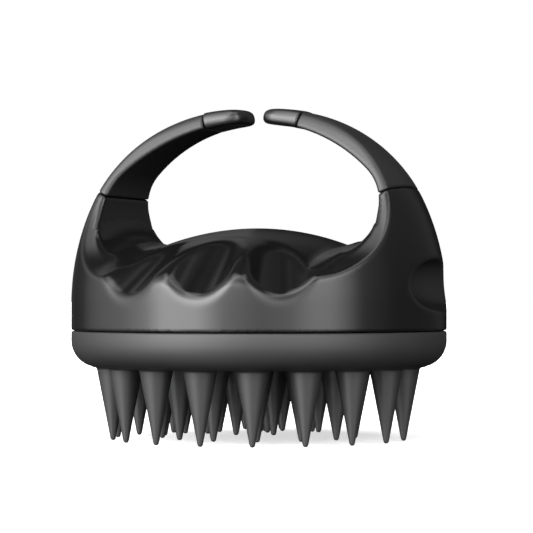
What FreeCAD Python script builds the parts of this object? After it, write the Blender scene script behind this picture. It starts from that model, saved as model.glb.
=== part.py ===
import FreeCAD, Part
import Sketcher
import math
import os

# Scalp massager brush: an egg-shaped shell whose two horns curve up to a pair of arms that almost
# meet over a finger opening, and a soft bristle pad that pulls off the shell's underside.
# Origin: on the egg's axis, at the height of the outer bristle tips. +Z up, horns at +X and -X,
# finger scoops towards -Y and +Y. Millimetres and degrees.

DIMENSIONS = {
    # egg outline, from the seam with the pad to the top of the arch
    "shell_radius": 40.0,
    "seam_height": 23.3,
    "side_arc_start": 28.9,
    "side_arc_radius": 52.0,
    "side_arc_angle": 24.5,
    "shoulder_radius": 33.45,
    # finger opening through the arch
    "opening_half_width": 30.3,
    "opening_side_top": 48.6,
    "opening_corner_radius": 11.3,
    "opening_corner_angle": 46.8,
    "tip_underside": 66.5,
    # palm side of the horns: straight taper above, flaring into the rim below
    "horn_half_width": 12.4,
    "horn_taper": 22.6,
    "flare_start": 53.0,
    "flare_radius": 34.0,
    # dome under the fingers
    "dome_height": 44.7,
    "dome_arc_radius": 50.0,
    "dome_end": 17.5,
    "dome_cross_radius": 92.4,
    "valley_start": 20.6,
    "valley_height": 41.0,
    "root_fillet_top": 48.0,
    "root_fillet_radius": 9.5,
    # finger scoops and the thumb dimple under each horn
    "scoop_radius": 8.4,
    "scoop_slope": 33.5,
    "scoop_foot_height": 31.3,
    "scoop_inward_length": 24.0,
    "scoop_outward_length": 12.0,
    "middle_scoop_reach": 38.5,
    "side_scoop_reach": 34.9,
    "side_scoop_offset": 16.3,
    "side_scoop_turn": 19.0,
    "dimple_centre_radius": 41.0,
    "dimple_height": 32.5,
    "dimple_depth": 3.9,
    "dimple_half_width": 32.9,
    "dimple_half_height": 5.85,
    # seams between shell, arms and tip caps
    "arm_seam_radius": 32.2,
    "arm_seam_height": 52.7,
    "arm_seam_tilt": 26.0,
    "tip_seam_radius": 10.7,
    "tip_seam_height": 68.0,
    "tip_seam_tilt": 13.0,
    "tip_gap": 2.3,
    # tongue of each arm in its horn, peg of each arm in its tip cap
    "tongue_width": 12.0,
    "tongue_thickness": 1.6,
    "tongue_length": 5.0,
    "peg_radius": 0.9,
    "peg_length": 4.0,
    "socket_clearance": 0.08,
    # hollow of the shell
    "mouth_radius": 37.2,
    "mouth_top": 26.2,
    "ceiling_height": 28.5,
    "ceiling_outer_radius": 34.0,
    "ceiling_inner_radius": 22.0,
    "vault_radius": 13.0,
    "vault_height": 40.2,
    "vault_shoulder": 38.2,
    # screws and their bosses
    "screw_circle_radius": 28.0,
    "screw_angle": 35.0,
    "boss_radius": 3.2,
    "pilot_radius": 0.95,
    "pilot_top": 34.0,
    "shank_radius": 0.95,
    "shank_length": 9.5,
    "screw_hole_radius": 1.4,
    "head_radius": 2.4,
    "head_height": 1.5,
    "recess_width": 0.6,
    "recess_length": 2.6,
    "recess_depth": 0.8,
    # carrier plate and seal
    "flange_radius": 37.0,
    "flange_thickness": 2.5,
    "drum_radius": 34.0,
    "drum_wall": 2.5,
    "drum_bottom": 18.0,
    "seal_thickness": 1.2,
    "seal_ring_radius": 36.6,
    # bristle pad
    "pad_seam_gap": 0.15,
    "pad_face_height": 15.5,
    "pad_corner_radius": 5.6,
    "pad_floor": 17.8,
    "pocket_radius": 34.3,
    "tooth_tip_radius": 0.6,
}

# Each ring of teeth: name, number of teeth, ring radius, angle of the first tooth from +X, height of
# the tips, radius at the root.
TOOTH_RINGS = [
    ("outer", 18, 31.2, -74.0, 0.0, 3.54),
    ("second", 14, 20.9, -72.6, 0.45, 3.54),
    ("third", 10, 12.7, -93.7, 1.45, 3.25),
    ("centre", 4, 5.3, -52.0, 1.6, 3.25),
]

doc = FreeCAD.newDocument("scalp_massager_brush")
dims = doc.addObject("Spreadsheet::Sheet", "dims")


def fill_sheet():
    row = 1
    entries = dict(DIMENSIONS)
    for ring, count, radius, angle, tip_height, root_radius in TOOTH_RINGS:
        entries[ring + "_ring_count"] = count
        entries[ring + "_ring_radius"] = radius
        entries[ring + "_ring_angle"] = angle
        entries[ring + "_ring_tip"] = tip_height
        entries[ring + "_ring_root"] = root_radius
    for alias, value in entries.items():
        dims.set("A%d" % row, alias.replace("_", " "))
        dims.set("B%d" % row, str(value))
        dims.setAlias("B%d" % row, alias)
        row += 1
    doc.recompute()


def bind(obj, expressions):
    for name, expression in expressions.items():
        obj.setExpression(name, expression)


def add(kind, name, expressions=None, **properties):
    obj = doc.addObject(kind, name)
    for key, value in properties.items():
        setattr(obj, key, value)
    bind(obj, expressions or {})
    return obj


# Planes that sketches stand on: sketch x and y against the model's axes.
FRONT = FreeCAD.Placement(FreeCAD.Vector(), FreeCAD.Rotation(FreeCAD.Vector(1, 0, 0), 90))
SIDE = FreeCAD.Placement(FreeCAD.Vector(), FreeCAD.Rotation(FreeCAD.Vector(1, 1, 1), 120))


def plane_of(body, role):
    for plane in body.Origin.OriginFeatures:
        if plane.Role == role:
            return plane
    raise ValueError(role)


def free_sketch(name, placement):
    sketch = doc.addObject("Sketcher::SketchObject", name)
    sketch.Placement = placement
    return sketch


def body_sketch(body, name, role):
    sketch = body.newObject("Sketcher::SketchObject", name)
    sketch.AttachmentSupport = [(plane_of(body, role), "")]
    sketch.MapMode = "FlatFace"
    return sketch


def lock_point(sketch, geometry, end, x_formula, y_formula, label):
    axes = (("DistanceX", "x", x_formula, -2), ("DistanceY", "y", y_formula, -1))
    for kind, letter, formula, axis in axes:
        if formula == "0":
            sketch.addConstraint(Sketcher.Constraint("PointOnObject", geometry, end, axis))
            continue
        value = float(sketch.evalExpression(formula))
        index = sketch.addConstraint(Sketcher.Constraint(kind, -1, 1, geometry, end, value))
        name = label + "_" + letter
        sketch.renameConstraint(index, name)
        sketch.setExpression("Constraints." + name, formula)


def arc_between(start, finish, radius):
    """Arc of the given radius, and its end numbers for start and finish. A positive radius bulges to
    the right of the way from start to finish, which runs anticlockwise about its centre."""
    chord = finish - start
    half = chord.Length / 2
    left = FreeCAD.Vector(-chord.y, chord.x, 0).normalize()
    side = 1 if radius > 0 else -1
    centre = (start + finish) * 0.5 + left * (side * (radius * radius - half * half) ** 0.5)
    from_point, to_point = (start, finish) if radius > 0 else (finish, start)
    from_angle = math.atan2(from_point.y - centre.y, from_point.x - centre.x)
    to_angle = math.atan2(to_point.y - centre.y, to_point.x - centre.x)
    if to_angle < from_angle:
        to_angle += 2 * math.pi
    circle = Part.Circle(centre, FreeCAD.Vector(0, 0, 1), abs(radius))
    arc = Part.ArcOfCircle(circle, from_angle, to_angle)
    return arc, ((1, 2) if radius > 0 else (2, 1))


def draw_outline(sketch, corners):
    """Closed outline. Each corner is (x formula, y formula) and, for an arc to the next corner,
    a third entry with its radius formula; a minus sign before it turns the bulge to the left."""
    points = []
    for corner in corners:
        x = float(sketch.evalExpression(corner[0]))
        y = float(sketch.evalExpression(corner[1]))
        points.append(FreeCAD.Vector(x, y, 0))
    count = len(corners)
    ends = []
    for index, corner in enumerate(corners):
        start = points[index]
        finish = points[(index + 1) % count]
        if len(corner) == 3:
            left = corner[2].startswith("-")
            formula = corner[2].lstrip("-")
            radius = float(sketch.evalExpression(formula))
            arc, (start_end, finish_end) = arc_between(start, finish, -radius if left else radius)
            geometry = sketch.addGeometry(arc, False)
            ends.append((geometry, start_end, finish_end))
            turn = sketch.addConstraint(Sketcher.Constraint("Radius", geometry, radius))
            name = "arc_%d" % index
            sketch.renameConstraint(turn, name)
            sketch.setExpression("Constraints." + name, formula)
        else:
            geometry = sketch.addGeometry(Part.LineSegment(start, finish), False)
            ends.append((geometry, 1, 2))
    for index, corner in enumerate(corners):
        geometry, start_end, finish_end = ends[index]
        following = ends[(index + 1) % count]
        sketch.addConstraint(
            Sketcher.Constraint("Coincident", geometry, finish_end, following[0], following[1])
        )
        lock_point(sketch, geometry, start_end, corner[0], corner[1], "corner_%d" % index)


def revolve(name, sketch, base=None, axis=(0, 0, 1)):
    solid = add("Part::Revolution", name, Source=sketch, Axis=FreeCAD.Vector(*axis), Angle=360.0, Solid=True)
    bind(solid, base or {})
    return solid


def extrude(name, sketch, length_formula):
    return add(
        "Part::Extrusion", name, {"LengthFwd": length_formula},
        Base=sketch, DirMode="Normal", Symmetric=True, Solid=True,
    )


def cut(name, base, tool):
    return add("Part::Cut", name, Base=base, Tool=tool)


def common(name, base, tool):
    return add("Part::Common", name, Base=base, Tool=tool)


def fuse(name, pieces):
    return add("Part::MultiFuse", name, Shapes=pieces)


def mirrored(name, source):
    return add("Part::Mirroring", name, Source=source, Normal=FreeCAD.Vector(1, 0, 0))


def turned(name, source, angle_formula):
    copy = add("Part::Compound", name, Links=[source])
    copy.Placement = FreeCAD.Placement(FreeCAD.Vector(), FreeCAD.Rotation(FreeCAD.Vector(0, 0, 1), 1))
    copy.setExpression("Placement.Rotation.Angle", angle_formula)
    return copy


def along_seam(obj, radius_formula, height_formula, tilt_formula):
    """Places a tool at a seam, turned about Y so that its own Z runs along the arm."""
    obj.Placement = FreeCAD.Placement(FreeCAD.Vector(), FreeCAD.Rotation(FreeCAD.Vector(0, 1, 0), 1))
    bind(obj, {
        "Placement.Base.x": radius_formula,
        "Placement.Base.z": height_formula,
        "Placement.Rotation.Angle": tilt_formula,
    })


# ---------------------------------------------------------------- outer form of the egg
def egg_solid():
    """Solid of revolution with the whole outer outline: wall, side arc, shoulder arc, flat top."""
    joint_x = "(dims.shell_radius - dims.side_arc_radius * (1 - cos(dims.side_arc_angle * 1deg)))"
    joint_y = "(dims.side_arc_start + dims.side_arc_radius * sin(dims.side_arc_angle * 1deg))"
    top_x = "(%s - dims.shoulder_radius * cos(dims.side_arc_angle * 1deg))" % joint_x
    top_y = "(%s + dims.shoulder_radius * (1 - sin(dims.side_arc_angle * 1deg)))" % joint_y
    sketch = free_sketch("egg_outline", FRONT)
    draw_outline(sketch, [
        ("0", "dims.seam_height"),
        ("dims.shell_radius", "dims.seam_height"),
        ("dims.shell_radius", "dims.side_arc_start", "dims.side_arc_radius"),
        (joint_x, joint_y, "dims.shoulder_radius"),
        (top_x, top_y),
        ("0", top_y),
    ])
    return revolve("egg", sketch)


def horn_prism():
    """Both horns seen from the side: a taper that flares into the rim, run through the egg along X."""
    slope = "tan(dims.horn_taper * 1deg)"
    top_width = "(dims.horn_half_width - (72 - dims.arm_seam_height) * %s)" % slope
    start_width = "(dims.horn_half_width + (dims.arm_seam_height - dims.flare_start) * %s)" % slope
    foot_width = "(%s + dims.flare_radius * cos(dims.horn_taper * 1deg))" % start_width
    foot_height = "(dims.flare_start - dims.flare_radius * (1 - sin(dims.horn_taper * 1deg)))"
    low = "dims.seam_height - 2"
    sketch = free_sketch("horn_outline", SIDE)
    draw_outline(sketch, [
        (top_width, "72"),
        ("-" + top_width, "72"),
        ("-" + start_width, "dims.flare_start", "-dims.flare_radius"),
        ("-" + foot_width, foot_height),
        ("-" + foot_width, low),
        (foot_width, low),
        (foot_width, foot_height, "-dims.flare_radius"),
        (start_width, "dims.flare_start"),
    ])
    return extrude("horns_from_side", sketch, "2.2 * dims.shell_radius")


def opening_prism():
    """Finger opening between the horns: a flat floor in the dome's valley, a fillet up into each horn,
    then the inner side of the horns and arms up to the underside of the tip caps."""
    angle = "(dims.opening_corner_angle * 1deg)"
    corner_x = "(dims.opening_half_width - dims.opening_corner_radius * (1 - cos%s))" % angle
    corner_y = "(dims.opening_side_top + dims.opening_corner_radius * sin%s)" % angle
    crown_radius = "(%s / cos%s)" % (corner_x, angle)
    crown_centre = "(%s - %s * sin%s)" % (corner_y, crown_radius, angle)
    tip_x = "sqrt(%s ^ 2 - (dims.tip_underside - %s) ^ 2)" % (crown_radius, crown_centre)
    sketch = free_sketch("opening_outline", FRONT)
    draw_outline(sketch, [
        ("-dims.valley_start", "dims.valley_height"),
        ("dims.valley_start", "dims.valley_height", "dims.root_fillet_radius"),
        ("dims.opening_half_width", "dims.root_fillet_top"),
        ("dims.opening_half_width", "dims.opening_side_top", "dims.opening_corner_radius"),
        (corner_x, corner_y, crown_radius),
        (tip_x, "dims.tip_underside"),
        ("-" + tip_x, "dims.tip_underside", crown_radius),
        ("-" + corner_x, corner_y, "dims.opening_corner_radius"),
        ("-dims.opening_half_width", "dims.opening_side_top"),
        ("-dims.opening_half_width", "dims.root_fillet_top", "dims.root_fillet_radius"),
    ])
    return extrude("finger_opening", sketch, "2.2 * dims.shell_radius")


def dome_solid():
    """Dome under the fingers: its outline from horn to horn, with a valley at each end, turned about an
    axis along X deep below it, so that it falls away to the front and back."""
    fall = "(dims.dome_arc_radius - sqrt(dims.dome_arc_radius ^ 2 - dims.dome_end ^ 2))"
    end_height = "(dims.dome_height - %s)" % fall
    axis = "(dims.dome_height - dims.dome_cross_radius)"
    sketch = free_sketch("dome_outline", FRONT)
    draw_outline(sketch, [
        ("-dims.shell_radius", axis),
        ("dims.shell_radius", axis),
        ("dims.shell_radius", "dims.valley_height"),
        ("dims.valley_start", "dims.valley_height"),
        ("dims.dome_end", end_height, "dims.dome_arc_radius"),
        ("-dims.dome_end", end_height),
        ("-dims.valley_start", "dims.valley_height"),
        ("-dims.shell_radius", "dims.valley_height"),
    ])
    return revolve("dome", sketch, {"Base.z": axis}, (1, 0, 0))


def finger_scoop(name, reach, offset, turn):
    """One scoop at the front of the rim: a round channel that rises inwards from its foot on the wall
    and runs out on the dome."""
    slope = "(dims.scoop_slope * 1deg)"
    channel = add("Part::Cylinder", name + "_channel", {
        "Radius": "dims.scoop_radius",
        "Height": "dims.scoop_inward_length + dims.scoop_outward_length",
    })
    channel.Placement = FreeCAD.Placement(FreeCAD.Vector(), FreeCAD.Rotation(FreeCAD.Vector(-1, 0, 0), 1))
    bind(channel, {
        "Placement.Rotation.Angle": "90 - dims.scoop_slope",
        "Placement.Base.y": "-dims.scoop_radius * sin%s - dims.scoop_outward_length * cos%s" % (slope, slope),
        "Placement.Base.z": "dims.scoop_radius * cos%s - dims.scoop_outward_length * sin%s" % (slope, slope),
    })
    scoop = turned(name, channel, turn)
    bind(scoop, {
        "Placement.Base.x": offset,
        "Placement.Base.y": "-" + reach,
        "Placement.Base.z": "dims.scoop_foot_height",
    })
    return scoop


def finger_scoops():
    """Three scoops for the fingers at the front of the rim, and the same three at the back."""
    reach = "dims.side_scoop_reach"
    front = [
        finger_scoop("scoop_middle", "dims.middle_scoop_reach", "0", "0"),
        finger_scoop("scoop_right", reach, "dims.side_scoop_offset", "dims.side_scoop_turn"),
        finger_scoop("scoop_left", reach, "-dims.side_scoop_offset", "-dims.side_scoop_turn"),
    ]
    return front + [turned(scoop.Name + "_back", scoop, "180") for scoop in front]


def thumb_dimples():
    """A shallow oval dimple in the wall under each horn."""
    dimples = []
    for name, sign in (("dimple_right", ""), ("dimple_left", "-")):
        dimples.append(add("Part::Ellipsoid", name, {
            "Radius1": "dims.dimple_half_height",
            "Radius2": "dims.dimple_depth",
            "Radius3": "dims.dimple_half_width",
            "Placement.Base.x": sign + "dims.dimple_centre_radius",
            "Placement.Base.z": "dims.dimple_height",
        }))
    return dimples


def outer_form():
    horns = cut("horns", horn_prism(), opening_prism())
    upper = fuse("horns_and_dome", [horns, dome_solid()])
    form = common("egg_form", egg_solid(), upper)
    for hollow in finger_scoops() + thumb_dimples():
        form = cut("form_less_" + hollow.Name, form, hollow)
    return form


# ---------------------------------------------------------------- seams
def seam_region(name, corners):
    sketch = free_sketch(name + "_outline", FRONT)
    draw_outline(sketch, corners)
    return extrude(name, sketch, "2.2 * dims.shell_radius")


def seam_point(which, distance):
    """A point on a seam's line, at a distance from the middle of the arm, outwards when positive."""
    radius = "dims.%s_seam_radius" % which
    height = "dims.%s_seam_height" % which
    if which == "arm":
        angle = "(dims.arm_seam_tilt * 1deg)"
    else:
        angle = "(90deg - dims.tip_seam_tilt * 1deg)"
    x = "(%s + %s * cos%s)" % (radius, distance, angle)
    y = "(%s + %s * sin%s)" % (height, distance, angle)
    return (x, y)


def arm_region():
    return seam_region("arm_region", [
        seam_point("arm", "(-7)"),
        seam_point("arm", "9"),
        ("45", "75"),
        seam_point("tip", "7"),
        seam_point("tip", "(-5)"),
    ])


def tip_region():
    return seam_region("tip_region", [
        seam_point("tip", "(-5)"),
        seam_point("tip", "7"),
        ("dims.tip_gap / 2", "75"),
        ("dims.tip_gap / 2", "dims.tip_underside - 4"),
    ])


def tongue(name, clearance):
    """Flat tongue at the foot of an arm, along the arm, half of it in the horn."""
    box = add("Part::Box", name + "_block", {
        "Length": "dims.tongue_thickness + 2 * %s" % clearance,
        "Width": "dims.tongue_width + 2 * %s" % clearance,
        "Height": "2 * dims.tongue_length + 2 * %s" % clearance,
    })
    bind(box, {
        "Placement.Base.x": "-Length / 2",
        "Placement.Base.y": "-Width / 2",
        "Placement.Base.z": "-Height / 2",
    })
    holder = add("Part::Compound", name, Links=[box])
    along_seam(holder, "dims.arm_seam_radius", "dims.arm_seam_height", "-dims.arm_seam_tilt")
    return holder


def peg(name, clearance):
    """Round peg at the upper end of an arm, half of it in the tip cap."""
    rod = add("Part::Cylinder", name + "_rod", {
        "Radius": "dims.peg_radius + %s" % clearance,
        "Height": "2 * dims.peg_length + 2 * %s" % clearance,
        "Placement.Base.z": "-Height / 2",
    })
    holder = add("Part::Compound", name, Links=[rod])
    along_seam(holder, "dims.tip_seam_radius", "dims.tip_seam_height", "dims.tip_seam_tilt - 90")
    return holder


def arms_and_tips(form):
    """One arm and one tip cap, and their mirror images."""
    arm_stock = common("arm_stock", form, arm_region())
    arm_socket = tongue("arm_socket", "dims.socket_clearance")
    tongue_piece = tongue("arm_tongue", "0")
    peg_piece = peg("arm_peg", "0")
    arm_right = fuse("handle_arm_right", [arm_stock, tongue_piece, peg_piece])
    tip_stock = common("tip_stock", form, tip_region())
    tip_right = cut("tip_cap_right", tip_stock, peg("tip_socket", "dims.socket_clearance"))
    arm_left = mirrored("handle_arm_left", arm_right)
    tip_left = mirrored("tip_cap_left", tip_right)
    sockets = [arm_socket, mirrored("arm_socket_left", arm_socket)]
    return arm_right, arm_left, tip_right, tip_left, sockets


# ---------------------------------------------------------------- shell
def hollow_solid():
    """Hollow of the shell: a straight mouth, a ring of ceiling under the scoops, a vault in the middle."""
    sketch = free_sketch("hollow_outline", FRONT)
    draw_outline(sketch, [
        ("0", "dims.seam_height - 1"),
        ("dims.mouth_radius", "dims.seam_height - 1"),
        ("dims.mouth_radius", "dims.mouth_top"),
        ("dims.ceiling_outer_radius", "dims.ceiling_height"),
        ("dims.ceiling_inner_radius", "dims.ceiling_height"),
        ("dims.vault_radius", "dims.vault_shoulder"),
        ("0", "dims.vault_height"),
    ])
    return revolve("hollow", sketch)


def screw_places():
    """The four screw places as a suffix and the formulas of their x and y."""
    places = []
    for x_sign, x_word in (("", "right"), ("-", "left")):
        for y_sign, y_word in (("-", "front"), ("", "back")):
            x = x_sign + "dims.screw_circle_radius * cos(dims.screw_angle * 1deg)"
            y = y_sign + "dims.screw_circle_radius * sin(dims.screw_angle * 1deg)"
            places.append((y_word + "_" + x_word, x, y))
    return places


def standing_cylinder(name, radius, bottom, top, x, y):
    return add("Part::Cylinder", name, {
        "Radius": radius,
        "Height": "(%s) - (%s)" % (top, bottom),
        "Placement.Base.x": x,
        "Placement.Base.y": y,
        "Placement.Base.z": bottom,
    })


FLANGE_TOP = "dims.seam_height + dims.flange_thickness"


def body_shell(form, sockets):
    region = seam_region("above_seams", [
        seam_point("arm", "(-7)"),
        seam_point("arm", "12"),
        ("45", "75"),
        ("-45", "75"),
        tuple(["-" + seam_point("arm", "12")[0], seam_point("arm", "12")[1]]),
        tuple(["-" + seam_point("arm", "(-7)")[0], seam_point("arm", "(-7)")[1]]),
    ])
    lower = cut("lower_form", form, region)
    hollowed = cut("hollowed_form", lower, hollow_solid())
    bosses = []
    pilots = []
    for place, x, y in screw_places():
        boss_top = "dims.ceiling_height + 1"
        bosses.append(standing_cylinder("boss_" + place, "dims.boss_radius", FLANGE_TOP, boss_top, x, y))
        pilot_bottom = FLANGE_TOP + " - 1"
        pilots.append(
            standing_cylinder("pilot_" + place, "dims.pilot_radius", pilot_bottom, "dims.pilot_top", x, y)
        )
    bossed = fuse("bossed_form", [hollowed] + bosses)
    tools = fuse("shell_tools", pilots + sockets)
    return cut("body_shell", bossed, tools)


# ---------------------------------------------------------------- carrier plate, screws, seal
def carrier_plate():
    """Disc with a drum below, which the pad's skirt grips, and a groove in its rim for the seal."""
    body = doc.addObject("PartDesign::Body", "carrier_plate")
    profile = body_sketch(body, "carrier_profile", "XZ_Plane")
    drum_inner = "dims.drum_radius - dims.drum_wall"
    middle = "(dims.seam_height + dims.flange_thickness / 2)"
    groove_floor = "dims.seal_ring_radius - dims.seal_thickness / 2"
    groove_low = middle + " - dims.seal_thickness / 2"
    groove_high = middle + " + dims.seal_thickness / 2"
    draw_outline(profile, [
        ("0", "dims.seam_height"),
        (drum_inner, "dims.seam_height"),
        (drum_inner, "dims.drum_bottom"),
        ("dims.drum_radius", "dims.drum_bottom"),
        ("dims.drum_radius", "dims.seam_height"),
        ("dims.flange_radius", "dims.seam_height"),
        ("dims.flange_radius", groove_low),
        (groove_floor, groove_low),
        (groove_floor, groove_high),
        ("dims.flange_radius", groove_high),
        ("dims.flange_radius", FLANGE_TOP),
        ("0", FLANGE_TOP),
    ])
    disc = body.newObject("PartDesign::Revolution", "carrier_disc")
    disc.Profile = profile
    disc.ReferenceAxis = (profile, ["V_Axis"])
    disc.Angle = 360.0
    doc.recompute()
    volume = disc.Shape.Volume
    holes = body_sketch(body, "screw_hole_sketch", "XY_Plane")
    for place, x, y in screw_places():
        centre = FreeCAD.Vector(float(holes.evalExpression(x)), float(holes.evalExpression(y)), 0)
        radius = float(holes.evalExpression("dims.screw_hole_radius"))
        circle = holes.addGeometry(Part.Circle(centre, FreeCAD.Vector(0, 0, 1), radius), False)
        lock_point(holes, circle, 3, x, y, place)
        turn = holes.addConstraint(Sketcher.Constraint("Radius", circle, radius))
        holes.renameConstraint(turn, place + "_size")
        holes.setExpression("Constraints." + place + "_size", "dims.screw_hole_radius")
    pocket = body.newObject("PartDesign::Pocket", "screw_holes")
    pocket.Profile = holes
    pocket.Type = "ThroughAll"
    pocket.Midplane = True
    doc.recompute()
    if pocket.Shape.Volume >= volume:
        raise RuntimeError("the screw holes cut nothing")
    return body


def plate_screws():
    """Four self-tapping screws: pan head under the plate, shank up into the shell's boss."""
    screws = []
    for place, x, y in screw_places():
        head_bottom = "dims.seam_height - dims.head_height"
        head = standing_cylinder("head_" + place, "dims.head_radius", head_bottom, "dims.seam_height", x, y)
        shank_top = "dims.seam_height + dims.shank_length - dims.shank_radius"
        shank = standing_cylinder("shank_" + place, "dims.shank_radius", "dims.seam_height", shank_top, x, y)
        point = add("Part::Cone", "point_" + place, {
            "Radius1": "dims.shank_radius",
            "Height": "dims.shank_radius",
            "Placement.Base.x": x,
            "Placement.Base.y": y,
            "Placement.Base.z": shank_top,
        }, Radius2=0.2)
        whole = fuse("whole_screw_" + place, [head, shank, point])
        slots = []
        for word, length, width in (("long", "recess_length", "recess_width"),
                                    ("cross", "recess_width", "recess_length")):
            slots.append(add("Part::Box", "recess_%s_%s" % (word, place), {
                "Length": "dims." + length,
                "Width": "dims." + width,
                "Height": "dims.recess_depth + 1",
                "Placement.Base.x": "%s - dims.%s / 2" % (x, length),
                "Placement.Base.y": "%s - dims.%s / 2" % (y, width),
                "Placement.Base.z": head_bottom + " - 1",
            }))
        screws.append(cut("screw_" + place, whole, fuse("recess_" + place, slots)))
    return add("Part::Compound", "plate_screws", Links=screws)


def seal_ring():
    """Round rubber ring that closes the gap between the plate's rim and the shell's mouth."""
    return add("Part::Torus", "seal_ring", {
        "Radius1": "dims.seal_ring_radius",
        "Radius2": "dims.seal_thickness / 2",
        "Placement.Base.z": "dims.seam_height + dims.flange_thickness / 2",
    })


# ---------------------------------------------------------------- bristle pad
def pad_cup():
    """Soft cup with a rounded lower edge; its skirt grips the carrier plate's drum."""
    body = doc.addObject("PartDesign::Body", "pad_cup")
    profile = body_sketch(body, "pad_profile", "XZ_Plane")
    rim = "dims.seam_height - dims.pad_seam_gap"
    draw_outline(profile, [
        ("0", "dims.pad_face_height"),
        ("dims.shell_radius - dims.pad_corner_radius", "dims.pad_face_height", "dims.pad_corner_radius"),
        ("dims.shell_radius", "dims.pad_face_height + dims.pad_corner_radius"),
        ("dims.shell_radius", rim),
        ("dims.pocket_radius", rim),
        ("dims.pocket_radius", "dims.pad_floor"),
        ("0", "dims.pad_floor"),
    ])
    cup = body.newObject("PartDesign::Revolution", "pad_revolution")
    cup.Profile = profile
    cup.ReferenceAxis = (profile, ["V_Axis"])
    cup.Angle = 360.0
    return body


def teeth(ring):
    """One ring of pointed teeth: a cone with a rounded tip, repeated round the pad's axis. They are
    one moulding with the cup, kept as solids of their own that meet it face to face."""
    body = doc.addObject("PartDesign::Body", ring + "_teeth")
    body.AllowCompound = True
    sketch = body_sketch(body, ring + "_tooth_profile", "XZ_Plane")
    sketch.AttachmentOffset = FreeCAD.Placement(
        FreeCAD.Vector(), FreeCAD.Rotation(FreeCAD.Vector(0, 1, 0), 1)
    )
    sketch.setExpression("AttachmentOffset.Rotation.Angle", "dims.%s_ring_angle" % ring)
    middle = "dims.%s_ring_radius" % ring
    tip = "dims.%s_ring_tip" % ring
    draw_outline(sketch, [
        (middle, "dims.pad_face_height"),
        (middle, tip, "dims.tooth_tip_radius"),
        (middle + " + dims.tooth_tip_radius", tip + " + dims.tooth_tip_radius"),
        (middle + " + dims.%s_ring_root" % ring, "dims.pad_face_height"),
    ])
    tooth = body.newObject("PartDesign::Revolution", ring + "_tooth")
    tooth.Profile = sketch
    tooth.Angle = 360.0
    tooth.ReferenceAxis = (sketch, ["Edge1"])
    doc.recompute()
    volume = tooth.Shape.Volume
    pattern = body.newObject("PartDesign::PolarPattern", ring + "_pattern")
    pattern.Originals = [tooth]
    pattern.Axis = (plane_of(body, "Z_Axis"), [""])
    pattern.Angle = 360.0
    pattern.setExpression("Occurrences", "dims.%s_ring_count" % ring)
    body.Tip = pattern
    doc.recompute()
    if pattern.Shape.Volume <= 2 * volume:
        raise RuntimeError("the %s teeth were not repeated" % ring)
    return body


def check_and_export(nodes):
    doc.recompute()
    for obj in doc.Objects:
        if "Invalid" in obj.State or "Error" in obj.State:
            raise RuntimeError("%s failed: %s" % (obj.Name, obj.State))
    os.makedirs("parts", exist_ok=True)
    for name, piece in nodes:
        piece.Label = name
        shape = piece.Shape
        if shape.isNull() or not shape.isValid():
            raise RuntimeError("%s has no valid shape" % name)
        shape.exportStep("parts/%s.step" % name)
        print("%s: %d solids, %.1f mm3, %s" % (name, len(shape.Solids), shape.Volume, shape.BoundBox))


def main():
    fill_sheet()
    form = outer_form()
    doc.recompute()
    arm_right, arm_left, tip_right, tip_left, sockets = arms_and_tips(form)
    nodes = [
        ("body_shell", body_shell(form, sockets)),
        ("handle_arm_right", arm_right),
        ("handle_arm_left", arm_left),
        ("tip_cap_right", tip_right),
        ("tip_cap_left", tip_left),
        ("carrier_plate", carrier_plate()),
        ("plate_screws", plate_screws()),
        ("seal_ring", seal_ring()),
        ("pad_cup", pad_cup()),
    ]
    nodes += [(ring[0] + "_teeth", teeth(ring[0])) for ring in TOOTH_RINGS]
    check_and_export(nodes)


main()
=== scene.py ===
import math
import bmesh
import bpy
import mathutils
import numpy as np
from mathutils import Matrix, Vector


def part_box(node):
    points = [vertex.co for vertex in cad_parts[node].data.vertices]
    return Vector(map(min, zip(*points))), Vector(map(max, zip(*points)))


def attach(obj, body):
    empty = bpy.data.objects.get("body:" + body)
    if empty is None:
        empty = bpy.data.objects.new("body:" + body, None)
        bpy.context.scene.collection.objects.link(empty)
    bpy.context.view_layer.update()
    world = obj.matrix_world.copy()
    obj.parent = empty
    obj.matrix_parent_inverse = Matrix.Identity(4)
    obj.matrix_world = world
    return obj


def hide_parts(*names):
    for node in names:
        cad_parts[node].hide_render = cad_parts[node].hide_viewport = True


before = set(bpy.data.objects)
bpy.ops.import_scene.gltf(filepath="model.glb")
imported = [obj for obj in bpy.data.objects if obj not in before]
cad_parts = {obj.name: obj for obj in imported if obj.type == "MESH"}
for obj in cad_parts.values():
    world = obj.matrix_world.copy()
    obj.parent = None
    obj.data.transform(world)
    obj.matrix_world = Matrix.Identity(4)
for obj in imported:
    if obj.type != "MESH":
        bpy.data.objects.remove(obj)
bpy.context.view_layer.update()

# The shapes below are worked out in millimetres and put into the scene in metres.
MM = 0.001
X_AXIS, Z_AXIS = 0, 2
LOWEST, HIGHEST = 0, 1


def cad_edge(node, end, axis):
    """Lowest or highest place of a CAD node along an axis, in millimetres."""
    return round(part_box(node)[end][axis] / MM, 2)


# Egg outline: a straight wall, a side arc and a shoulder arc that ends in a flat top.
SHELL_RADIUS = cad_edge("body_shell", HIGHEST, X_AXIS)
SEAM_HEIGHT = cad_edge("body_shell", LOWEST, Z_AXIS)
SIDE_ARC_START = 28.9
SIDE_ARC_RADIUS = 52.0
SIDE_ARC_ANGLE = math.radians(24.5)
SHOULDER_RADIUS = 33.45

# Finger opening between the horns and under the arms.
OPENING_HALF_WIDTH = 30.3
OPENING_SIDE_TOP = 48.6
OPENING_CORNER_RADIUS = 11.3
OPENING_CORNER_ANGLE = math.radians(46.8)

# Seams between shell, arms and tip caps: a point in the middle of the arm and the tilt.
ARM_SEAM = (32.2, 52.7, math.radians(26.0))
TIP_SEAM = (10.7, 68.0, math.radians(77.0))
SEAM_GAP = 0.16
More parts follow.
